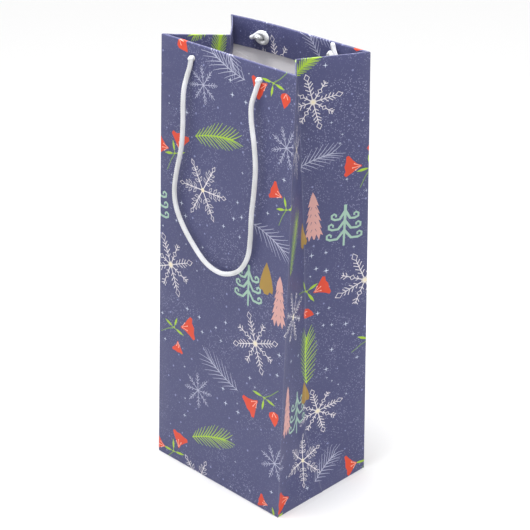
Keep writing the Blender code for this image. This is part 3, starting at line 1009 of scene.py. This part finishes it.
def star(size):
    outline = []
    for corner in range(8):
        reach = size / 2 if corner % 2 == 0 else size * 0.10
        outline.append(polar(math.tau * corner / 8 + math.pi / 2, reach))
    return [("star", outline)]


def speck(size):
    return [("dot", dot((0, 0), size / 2, 6))]


def moved(shapes, place, turn):
    """The same drawing turned and set down at a place."""
    cosine = math.cos(math.radians(turn))
    sine = math.sin(math.radians(turn))
    result = []
    for ink, outline in shapes:
        spots = [(place[0] + x * cosine - y * sine, place[1] + x * sine + y * cosine) for x, y in outline]
        result.append((ink, spots))
    return result


# %% [markdown]
# ## Laying out the print
# Printed paper repeats, here every 195.4 mm round the bag, and the folds cut through its
# drawings. Each row is a drawing, its place on the sheet in millimetres, its turn in degrees
# and its size. Stars have their own list, and faint snow specks fill the room between.

# %% Print layout
REPEAT = 195.4
DRAWINGS = {
    "crystal": snow_crystal,
    "leafy": leafy_crystal,
    "lace": lace_crystal,
    "lime": lambda size: pine_sprig(size, "lime", 0.80, 13, 0.25),
    "grey": lambda size: pine_sprig(size, "grey", 0.58, 9, 0.32),
    "leaves": leaf_spray,
    "flower": trumpet,
    "bud": closed_bud,
    "pink_tree": feathered_tree,
    "mint_tree": curled_tree,
    "ochre_tree": plump_tree,
}
LAYOUT = [
    # front, from the top down
    ("bud", 17, 309, -40, 11), ("grey", 77, 296, 160, 38), ("lace", 40, 284, 10, 26),
    ("leaves", 101, 300, 32, 11), ("flower", 96, 298, 205, 13), ("bud", 112, 296, -96, 10),
    ("lime", 33, 248, 11, 43), ("flower", 19, 233, 88, 14), ("leaves", 14, 231, 235, 11),
    ("flower", 8, 233, 175, 12), ("leafy", 41, 213, 0, 44), ("lace", 114, 262, 20, 27),
    ("flower", 112, 229, 160, 11), ("leaves", 116, 222, 237, 10),
    ("crystal", 11, 150, 22, 46), ("grey", 88, 204, -20, 36),
    ("mint_tree", 85, 160, 0, 29), ("ochre_tree", 101, 170, 0, 23), ("pink_tree", 113, 158, 0, 36),
    ("leaves", 15, 104, 202, 11), ("flower", 22, 107, 14, 14), ("flower", 19, 95, -92, 9),
    ("crystal", 93, 121, 20, 44), ("grey", 78, 80, 155, 38), ("lace", 40, 65, 5, 27),
    ("leaves", 103, 85, 32, 12), ("flower", 97, 80, 222, 14), ("bud", 112, 78, -80, 11),
    ("lime", 35, 26, 20, 43), ("flower", 21, 11, 80, 13), ("leaves", 16, 6, 225, 12),
    ("flower", 7, 6, 172, 12), ("lace", 115, 40, 25, 27), ("leafy", 42, -8, 10, 44),
    ("flower", 110, 5, 168, 9), ("leaves", 117, -2, 240, 10),
    # right side
    ("crystal", 142, 256, 10, 42), ("lime", 127, 176, 62, 44), ("crystal", 138, 143, 20, 42),
    ("pink_tree", 130, 77, 0, 38), ("mint_tree", 149, 67, 0, 32), ("leafy", 155, 27, 12, 38),
    ("flower", 134, 9, 176, 14), ("lime", 162, 298, 40, 23), ("crystal", 173, 280, 12, 38),
    ("grey", 160, 237, 17, 31),
    ("pink_tree", 171, 203, 0, 34), ("mint_tree", 192, 193, -3, 29), ("ochre_tree", 161, 192, 0, 19),
    ("flower", 170, 149, 22, 12), ("leaves", 165, 151, 160, 11), ("bud", 162, 136, -20, 9),
    ("lime", 165, 82, 90, 43), ("crystal", 173, 58, 14, 38), ("grey", 160, 9, 24, 32),
    ("ochre_tree", 162, 76, 0, 18),
    # over the top and under the base
    ("crystal", 93, 337, 14, 42), ("grey", 53, 322, -56, 30), ("lime", 159, 332, -91, 27),
    ("lace", 78, -28, 10, 27), ("mint_tree", 20, -34, 0, 28), ("lime", 95, -46, 30, 36),
    ("crystal", 150, -24, 14, 42), ("flower", 190, -24, 40, 14),
]
STARS = [
    (64, 293), (66, 284), (78, 282), (25, 262), (113, 241), (88, 216), (100, 215), (73, 214), (77, 205),
    (70, 202), (61, 194), (76, 191), (25, 190), (16, 184), (21, 198), (28, 123), (40, 121), (56, 119),
    (65, 126), (61, 111), (43, 111), (3, 111), (115, 121), (114, 106), (89, 94), (6, 92), (64, 76),
    (67, 66), (79, 64), (27, 40), (113, 17), (181, 303), (169, 176), (179, 176), (172, 166), (179, 163),
    (173, 133), (181, 135), (177, 123), (183, 122), (193, 120), (183, 103), (179, 89),
    (152, 8), (133, 25), (128, 228), (150, 110), (135, 112),
]
placed = []
for kind, across, up, turn, size in LAYOUT:
    placed.append(moved(DRAWINGS[kind](size), (across, up), turn))
print("drawings in one repeat:", len(placed))

ROOTED = ("lime", "grey", "flower", "bud")


def middle_of(row):
    """Drawings that grow from their origin are cleared round their own middle."""
    kind, across, up, turn, size = row
    reach = size * 0.45 if kind in ROOTED else 0.0
    return polar(math.radians(turn), reach, (across, up))


middles = [(*middle_of(row), row[4] * 0.46) for row in LAYOUT]


def clear_of_drawings(point, room):
    for across, up, reach in middles:
        for shift in (-REPEAT, 0.0, REPEAT):
            if math.hypot(point[0] - across - shift, point[1] - up) < reach + room:
                return False
    return True


SPECKS = 250
SPECK_GAP = 5.0               # the least distance between two, in mm
PRINT_FOOT = -52.0            # specks lie between these two heights on the sheet, in mm
PRINT_TOP = 332.0
specks = list(STARS)
while len(specks) < SPECKS + len(STARS):
    point = (pen.uniform(0.0, REPEAT), pen.uniform(PRINT_FOOT, PRINT_TOP))
    alone = all(math.hypot(point[0] - x, point[1] - y) > SPECK_GAP for x, y in specks)
    if alone and clear_of_drawings(point, 0.5):
        specks.append(point)
for index, place in enumerate(specks):
    if index < len(STARS):
        drawing = star(pen.uniform(3.2, 4.4))
    else:
        drawing = star(pen.uniform(1.8, 2.6)) if index % 5 == 0 else speck(pen.uniform(1.2, 1.8))
    placed.insert(0, moved(drawing, place, 0))
print("stars and specks:", len(specks))

# %% [markdown]
# ## From flat drawing to folded paper
# A planar triangulation merges everything on the flat sheet: the outline, the holes, the
# fold lines, a grid that lets the paper curve, and every drawing. It also says which shapes
# each triangle lies in, so the topmost ink is known. Only then is the sheet folded. The
# print is therefore part of the paper's own surface, with sharp edges at any distance, and
# the sheet's thickness comes last, from Solidify.

# %% Triangulate the flat sheet
MM = 0.001
HOLE_INK = "hole"
FLAP_GAP = 2.0                # from a flap's end to the corner fold, in mm
DUST_SLOPE = 9.0              # how much a flap narrows at each end, in mm
FLAP_SLOPE = 2.0
TAB_SLOPE = 4.0
WALL_SLICES = 8
SIDE_SLICES = 12
HEM_LINE = PANEL_HEIGHT - 0.010
FOLD_STEPS = (-1.0, -0.5, 0.0, 0.5, 1.0)
flat_points = []
flat_edges = []
flat_faces = []
face_inks = []


def add_outline(outline, ink):
    first = len(flat_points)
    flat_points.extend(Vector(point) for point in outline)
    flat_faces.append(list(range(first, first + len(outline))))
    face_inks.append(ink)


def add_line(start, end):
    first = len(flat_points)
    flat_points.extend((Vector(start), Vector(end)))
    flat_edges.append((first, first + 1))


def hem_height(height):
    """Where on the sheet the hem passes a height on the wall, both in metres."""
    return FOLD_START + FOLD_SPAN + (FOLD_START - height)


def in_mm(*values):
    return [value / MM for value in values]


left, front_right, back_right, right, top = in_mm(LEFT_START, FRONT_END, RIGHT_END, BACK_END, SHEET_TOP)
dust, flap, tab_width, half_base, softness = in_mm(
    DUST_REACH, FLAP_REACH, TAB_WIDTH, HALF_BASE, FOLD_SOFTNESS)
tab_top, tab_foot, hem_line = in_mm(PANEL_HEIGHT - 0.024, 0.005, hem_height(HEM_LINE))
tab_left = left - tab_width
panels = (
    (left, 0.0, dust, DUST_SLOPE, SIDE_SLICES),
    (0.0, front_right, flap, FLAP_SLOPE, WALL_SLICES),
    (front_right, back_right, dust, DUST_SLOPE, SIDE_SLICES),
    (back_right, right, flap, FLAP_SLOPE, WALL_SLICES))
outline = [(left, 0.0)]
for start, end, reach, slope, _ in panels:
    start += FLAP_GAP
    end -= FLAP_GAP
    outline += [(start, 0.0), (start + slope, -reach), (end - slope, -reach), (end, 0.0)]
outline += [(right, 0.0), (right, top), (left, top), (left, tab_top)]
outline += [(tab_left, tab_top - TAB_SLOPE), (tab_left, tab_foot + TAB_SLOPE), (left, tab_foot)]
add_outline(outline, "ground")

for fold in in_mm(*CORNERS, *CREASES):
    for step in FOLD_STEPS:
        line = fold + step * softness
        if left < line < right:
            add_line((line, -0.9), (line, top))
for start, end, _, _, slices in panels:
    for step in range(1, slices):
        line = start + (end - start) * step / slices
        add_line((line, -flap), (line, top))
for height in list(range(10, 305, 10)) + list(range(-50, -5, 9)):
    add_line((tab_left, float(height)), (right, float(height)))
for step in FOLD_STEPS:
    add_line((left, step * softness), (right, step * softness))
for step in range(9):
    height = (FOLD_START + FOLD_SPAN * step / 8) / MM
    add_line((left, height), (right, height))
add_line((left, hem_line), (right, hem_line))
for corner, turn in ((left, 1), (0.0, -1), (front_right, 1), (back_right, -1)):
    add_line((corner, 0.0), (corner + turn * half_base, half_base))

for shapes in placed:
    for shift in (-REPEAT, 0.0, REPEAT):
        for ink, outline in shapes:
            low = min(point[0] for point in outline) + shift
            high = max(point[0] for point in outline) + shift
            if high > tab_left and low < right:
                add_outline([(x + shift, y) for x, y in outline], ink)

hole = HOLE_RADIUS / MM
for middle in in_mm(HALF_WIDTH, RIGHT_END + HALF_WIDTH):
    for side in (-1, 1):
        for height in (HOLE_HEIGHT, hem_height(HOLE_HEIGHT)):
            centre = (middle + side * HOLE_SPACING / MM / 2, height / MM)
            add_outline(dot(centre, hole, 24), HOLE_INK)

flat = geometry.delaunay_2d_cdt(flat_points, flat_edges, flat_faces, 1, 1e-4, True)
sheet_points = np.array([tuple(point) for point in flat[0]]) * MM
triangles = []
triangle_inks = []
for corners, owners in zip(flat[2], flat[5]):
    inks = [face_inks[owner] for owner in sorted(owners)]
    if 0 in owners and HOLE_INK not in inks:
        triangles.append(corners)
        triangle_inks.append(inks[-1])
print("triangles on the flat sheet:", len(triangles))

# %% [markdown]
# ## Fold it and give it thickness
# The flat places become points in space, and every triangle gets its ink as a colour
# attribute. The flat sheet itself is kept as the UV map, in metres, so that paper grain
# follows the folds. Solidify then gives the paper its thickness towards the inside: its
# offset faces take a plain white finish, the colour of the unprinted side.

# %% Fold the sheet


def crease_wear(points):
    """1 on a crease line, falling to 0 just over half a millimetre away."""
    u, v = points[:, 0], points[:, 1]
    away = np.min([np.abs(u - fold) for fold in CORNERS + CREASES], axis=0)
    away = np.minimum(away, np.abs(v))
    away = np.minimum(away, np.abs(v - FOLD_START - FOLD_SPAN / 2))
    return np.clip(1.0 - away / (1.2 * FOLD_SOFTNESS), 0.0, 1.0)


used = sorted({corner for corners in triangles for corner in corners})
renumbered = {corner: index for index, corner in enumerate(used)}
sheet_points = sheet_points[used]
triangles = [[renumbered[corner] for corner in corners] for corners in triangles]
folded = fold_sheet(sheet_points[:, 0], sheet_points[:, 1])

sheet_mesh = bpy.data.meshes.new("printed_bag_sheet")
sheet_mesh.from_pydata(folded.tolist(), [], triangles)
corner_points = np.array([sheet_points[corner] for corners in triangles for corner in corners])
sheet_mesh.uv_layers.new(name="flat_sheet").data.foreach_set("uv", corner_points.ravel())
ink_values = np.repeat(np.array([INKS[ink] for ink in triangle_inks]), 3, axis=0)
ink_layer = sheet_mesh.color_attributes.new("ink", "FLOAT_COLOR", "CORNER")
ink_layer.data.foreach_set("color", ink_values.ravel())
is_ground = np.repeat(np.array([float(ink == "ground") for ink in triangle_inks]), 3)
sheet_mesh.attributes.new("bare_ground", "FLOAT", "CORNER").data.foreach_set("value", is_ground)
wear_layer = sheet_mesh.attributes.new("crease_wear", "FLOAT", "POINT")
wear_layer.data.foreach_set("value", crease_wear(sheet_points))
print("paper girth", round((BACK_END - LEFT_START) * 1000), "mm, folded points:", len(folded))

# %% [markdown]
# ## Printed paper
# The finish of coated gift paper: solid inks under a thin satin coat. Large soft noise keeps
# the ink from being perfectly even. A fine lilac stipple drifts over the blue ground in
# bands, like blown snow, and the creases are rubbed slightly paler where the coat has
# cracked. A very fine bump gives the paper its tooth.

# %% Printed paper material


def make_printed_paper():
    material, tree, shader = start_material("printed_gift_paper", 0.46)
    shader.inputs["Specular IOR Level"].default_value = 0.26
    shader.inputs["Coat Weight"].default_value = 0.05
    shader.inputs["Coat Roughness"].default_value = 0.35
    flat_place = add_node(tree, "ShaderNodeUVMap", uv_map="flat_sheet").outputs["UV"]
    ink = add_node(tree, "ShaderNodeAttribute", attribute_name="ink").outputs["Color"]
    ground = add_node(tree, "ShaderNodeAttribute", attribute_name="bare_ground").outputs["Fac"]
    wear = add_node(tree, "ShaderNodeAttribute", attribute_name="crease_wear").outputs["Fac"]
    cloud = add_texture(tree, "ShaderNodeTexNoise", flat_place, Scale=34.0, Detail=4.0)
    tooth = add_texture(tree, "ShaderNodeTexNoise", flat_place, Scale=1500.0, Detail=3.0)
    drift = add_texture(
        tree, "ShaderNodeTexNoise", flat_place, Scale=19.0, Detail=3.0, Distortion=1.6)
    stipple = add_texture(tree, "ShaderNodeTexVoronoi", flat_place, Scale=820.0, Randomness=0.95)
    uneven = map_range(tree, cloud.outputs["Fac"], 0.3, 0.7, 0.0, 0.10)
    tone = mix_colour(tree, uneven, ink, srgb(60, 62, 96))
    dots = map_range(tree, stipple.outputs["Distance"], 0.34, 0.22)
    bands = map_range(tree, drift.outputs["Fac"], 0.44, 0.58, 0.25, 1.0)
    speckled = multiply(tree, multiply(tree, dots, bands), multiply(tree, ground, 0.40))
    tone = mix_colour(tree, speckled, tone, srgb(176, 178, 206))
    tone = mix_colour(tree, multiply(tree, wear, 0.12), tone, srgb(205, 204, 214))
    tree.links.new(tone, shader.inputs["Base Color"])
    gloss = map_range(tree, tooth.outputs["Fac"], 0.3, 0.7, 0.40, 0.54)
    tree.links.new(gloss, shader.inputs["Roughness"])
    add_bump(tree, shader, tooth.outputs["Fac"], 0.00003, 0.35)
    return material


def make_white_paper(name, colour, shade):
    """The unprinted side and the cut edges: uncoated, with faint fibres."""
    material, tree, shader = start_material(name, 0.7)
    place = add_node(tree, "ShaderNodeTexCoord").outputs["Object"]
    cloud = add_texture(tree, "ShaderNodeTexNoise", place, Scale=60.0, Detail=4.0)
    fibre = add_texture(tree, "ShaderNodeTexNoise", place, Scale=900.0, Detail=4.0, Distortion=1.2)
    tone = map_range(tree, cloud.outputs["Fac"], 0.35, 0.65)
    tree.links.new(mix_colour(tree, tone, shade, colour), shader.inputs["Base Color"])
    add_bump(tree, shader, fibre.outputs["Fac"], 0.00005, 0.5)
    return material


PRINTED_PAPER = make_printed_paper()
WHITE_BACK = make_white_paper("white_paper_back", srgb(238, 236, 238), srgb(230, 228, 231))
PAPER_CORE = make_white_paper("paper_cut_edge", srgb(232, 231, 233), srgb(218, 217, 220))
print("paper finishes:", PRINTED_PAPER.name, WHITE_BACK.name, PAPER_CORE.name)

# %% Give the paper its thickness
for material in (PRINTED_PAPER, WHITE_BACK, PAPER_CORE):
    sheet_mesh.materials.append(material)
working = place_object("printed_bag_sheet", sheet_mesh)
thickness = working.modifiers.new("paper", "SOLIDIFY")
thickness.thickness = PAPER
thickness.offset = -1.0
thickness.material_offset = 1
thickness.material_offset_rim = 2
printed_bag = as_plain_piece(working, "printed_bag")
printed_bag.data.shade_smooth()
printed_bag.data.set_sharp_from_angle(angle=math.radians(38))
PAPER_NODES = [
    "front_panel", "back_panel", "right_gusset_foot", "left_gusset_foot", "front_hem", "back_hem",
    "glue_seam_tab", "base_flap_front", "base_flap_back", "dust_flap_right", "dust_flap_left"]
for half in ("right_{}_front", "right_{}_back", "left_{}_front", "left_{}_back"):
    PAPER_NODES += [half.format("gusset"), half.format("hem")]
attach(printed_bag, "bag")
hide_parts(*PAPER_NODES)
print("printed bag has", len(printed_bag.data.polygons), "faces, for", len(PAPER_NODES), "frame nodes")

# %% [markdown]
# ## The loose board and the top cards
# A stiff white board lies on the base flaps and keeps the base flat. Two strips of grey card
# stiffen the mouth, each between a panel and its hem, with the cord passing through. All
# three are cut board, so one helper makes them: a flat outline with clipped corners, raised
# to its thickness, with eased edges. The strips get their holes before they are raised.

# %% Base board and top cards


def make_card(name, colour, shade):
    """Pulp board: mottled, with darker flecks and a soft uneven surface."""
    material, tree, shader = start_material(name, 0.82)
    place = add_node(tree, "ShaderNodeTexCoord").outputs["Object"]
    mottle = add_texture(tree, "ShaderNodeTexNoise", place, Scale=240.0, Detail=5.0)
    fleck = add_texture(tree, "ShaderNodeTexVoronoi", place, Scale=420.0)
    tone = mix_colour(tree, map_range(tree, mottle.outputs["Fac"], 0.35, 0.65), shade, colour)
    flecks = map_range(tree, fleck.outputs["Distance"], 0.16, 0.08, 0.0, 0.35)
    tone = mix_colour(tree, flecks, tone, tuple(level * 0.6 for level in shade[:3]) + (1.0,))
    tree.links.new(tone, shader.inputs["Base Color"])
    add_bump(tree, shader, mottle.outputs["Fac"], 0.00012, 0.6)
    return material


GREY_CARD = make_card("grey_card", srgb(168, 166, 162), srgb(146, 144, 140))
WHITE_BOARD = make_card("white_board", srgb(236, 234, 230), srgb(222, 220, 216))


def make_board(name, low, high, clip, edge, material, holes=(), slices=0):
    """A board with clipped corners and eased edges, lying in X and Y and filling a box."""
    outline = [
        (low.x + clip, low.y), (high.x - clip, low.y), (high.x, low.y + clip), (high.x, high.y - clip),
        (high.x - clip, high.y), (low.x + clip, high.y), (low.x, high.y - clip), (low.x, low.y + clip)]
    loops = [outline] + [dot(hole, HOLE_RADIUS, 16)[::-1] for hole in holes]
    shape = bmesh.new()
    edges = []
    for points in loops:
        corners = [shape.verts.new((x, y, low.z)) for x, y in points]
        edges += [shape.edges.new((corner, corners[index - 1])) for index, corner in enumerate(corners)]
    made = bmesh.ops.triangle_fill(shape, edges=edges, use_beauty=True)["geom"]
    faces = [part for part in made if isinstance(part, bmesh.types.BMFace)]
    raised = bmesh.ops.extrude_face_region(shape, geom=faces)["geom"]
    bmesh.ops.translate(
        shape, verts=[part for part in raised if isinstance(part, bmesh.types.BMVert)],
        vec=(0, 0, high.z - low.z))
    bmesh.ops.recalc_face_normals(shape, faces=shape.faces)
    sharp = [part for part in shape.edges if part.calc_face_angle(0.0) > 0.5]
    bmesh.ops.bevel(shape, geom=sharp, offset=edge, segments=2, profile=0.5, affect="EDGES")
    for part in range(1, slices):
        everything = shape.verts[:] + shape.edges[:] + shape.faces[:]
        cut = low.x + (high.x - low.x) * part / slices
        bmesh.ops.bisect_plane(shape, geom=everything, plane_co=(cut, 0, 0), plane_no=(1, 0, 0))
    mesh = bpy.data.meshes.new(name)
    shape.to_mesh(mesh)
    shape.free()
    mesh.materials.append(material)
    return place_object(name, mesh)


BOARD_CLIP = 0.0015
BOARD_EASE = 0.0002
board_low, board_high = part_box("base_board")
board = make_board("loose_base_board", board_low, board_high, BOARD_CLIP, BOARD_EASE, WHITE_BOARD)
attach(board, "bag")
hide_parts("base_board")
print("board", [round(value * 1000, 1) for value in board_high - board_low], "mm")

CARD_EDGE = 0.0035            # from the card's end to the corner fold
CARD_HEIGHT = 0.0185
CARD_THICKNESS = 0.0008
CARD_CLIP = 0.0010
CARD_EASE = 0.00012
CARD_SLICES = 16              # so that the back card can follow the panel's bow
card_top = PANEL_HEIGHT - 0.0012
for side, wall in WALLS.items():
    card_low = Vector((CARD_EDGE - HALF_WIDTH, card_top - CARD_HEIGHT, 0.0))
    card_high = Vector((HALF_WIDTH - CARD_EDGE, card_top, CARD_THICKNESS))
    holes = [(-HOLE_SPACING / 2, HOLE_HEIGHT), (HOLE_SPACING / 2, HOLE_HEIGHT)]
    card = make_board(
        f"{side}_hem_card", card_low, card_high, CARD_CLIP, CARD_EASE, GREY_CARD, holes, CARD_SLICES)
    upright = Matrix.Translation((0.0, LAYER + CARD_THICKNESS, 0.0)) @ Matrix.Rotation(math.pi / 2, 4, "X")
    card.data.transform(wall @ upright)
    bent = spring_forward(np.array([tuple(corner.co) for corner in card.data.vertices]))
    card.data.vertices.foreach_set("co", bent.ravel())
    card.data.update()
    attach(card, "bag")
    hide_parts(f"{side}_top_card")
    print(side, "hem card has", len(card.data.polygons), "faces")

# %% [markdown]
# ## Floor, light and tone
# The bag stands on a wide white floor under even soft light. A white world gives most of it;
# large lamps well away from the bag add a little form, and a small one above the mouth lights
# the inside. The Standard view keeps white paper white instead of greying it.

# %% Floor and lights
floor_mesh = bpy.data.meshes.new("studio_floor")
FLOOR_REACH = 6.0
FLOOR_DROP = 0.0002           # just under the base, so the two faces never share a plane
FLOOR_SQUARE = ((-1, -1), (1, -1), (1, 1), (-1, 1))
floor_corners = [(FLOOR_REACH * x, FLOOR_REACH * y, -FLOOR_DROP) for x, y in FLOOR_SQUARE]
floor_mesh.from_pydata(floor_corners, [], [(0, 1, 2, 3)])
floor_material, _, floor_shader = start_material("studio_floor", 0.9)
floor_shader.inputs["Base Color"].default_value = (0.97, 0.97, 0.97, 1.0)
floor_mesh.materials.append(floor_material)
floor = place_object("studio_floor", floor_mesh)


def add_softbox(name, place, aim, size, watts):
    """A square area lamp that looks at a point."""
    lamp = bpy.data.lights.new(name, "AREA")
    lamp.shape = "SQUARE"
    lamp.size = size
    lamp.energy = watts
    holder = place_object(name, lamp)
    look = (Vector(place) - Vector(aim)).to_track_quat("Z", "Y").to_matrix().to_4x4()
    holder.matrix_world = Matrix.Translation(Vector(place)) @ look


middle = (0.0, 0.0, 0.15)
add_softbox("key_softbox", (-0.5, -1.5, 1.3), middle, 1.4, 2.6)
add_softbox("side_softbox", (1.6, -0.3, 1.1), middle, 1.4, 5.0)
add_softbox("mouth_softbox", (0.0, -0.05, 0.62), (0.0, -0.05, 0.0), 0.16, 2.1)
add_softbox("top_softbox", (0.0, 0.6, 3.0), (0.0, 0.6, 0.0), 3.6, 14.0)
world = bpy.data.worlds.new("studio")
world.use_nodes = True
world.node_tree.nodes["Background"].inputs["Color"].default_value = (1.0, 1.0, 1.0, 1.0)
world.node_tree.nodes["Background"].inputs["Strength"].default_value = 0.85
bpy.context.scene.world = world
bpy.context.scene.view_settings.view_transform = "Standard"
